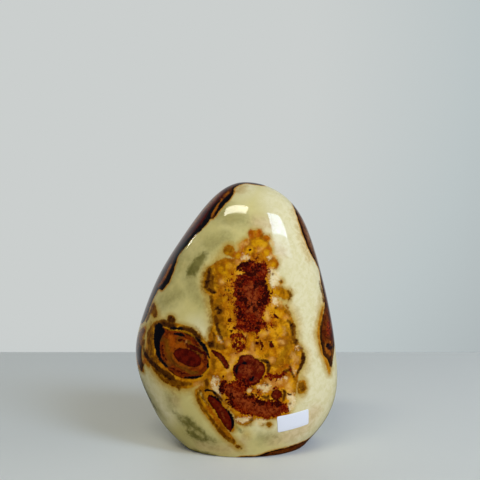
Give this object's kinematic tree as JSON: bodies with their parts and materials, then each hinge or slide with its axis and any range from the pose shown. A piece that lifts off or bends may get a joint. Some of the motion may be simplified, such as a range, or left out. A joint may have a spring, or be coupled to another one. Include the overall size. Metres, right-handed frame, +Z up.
{
  "type": "polished jasper freeform",
  "caption": "Upright rounded freeform of polished multicoloured jasper with a ground-flat base, for display on a shelf or table, with a small blank paper label stuck low on its front.",
  "frame": {"origin": "centre of the underside of the bounding box, on the plane of the flat base", "axes": "+Z up the height, -Y out of the front face with the label, +X to the right seen from the front"},
  "size_m": [0.1237, 0.0749, 0.16],
  "materials": {
    "polished_jasper": "polished stone: cream and olive ground with ochre patches, dark red and black orbs and bands",
    "label_paper": "smooth white paper, blank"
  },
  "bodies": {
    "root": {"stone": "polished_jasper", "price_label": "label_paper"}
  },
  "joints": []
}
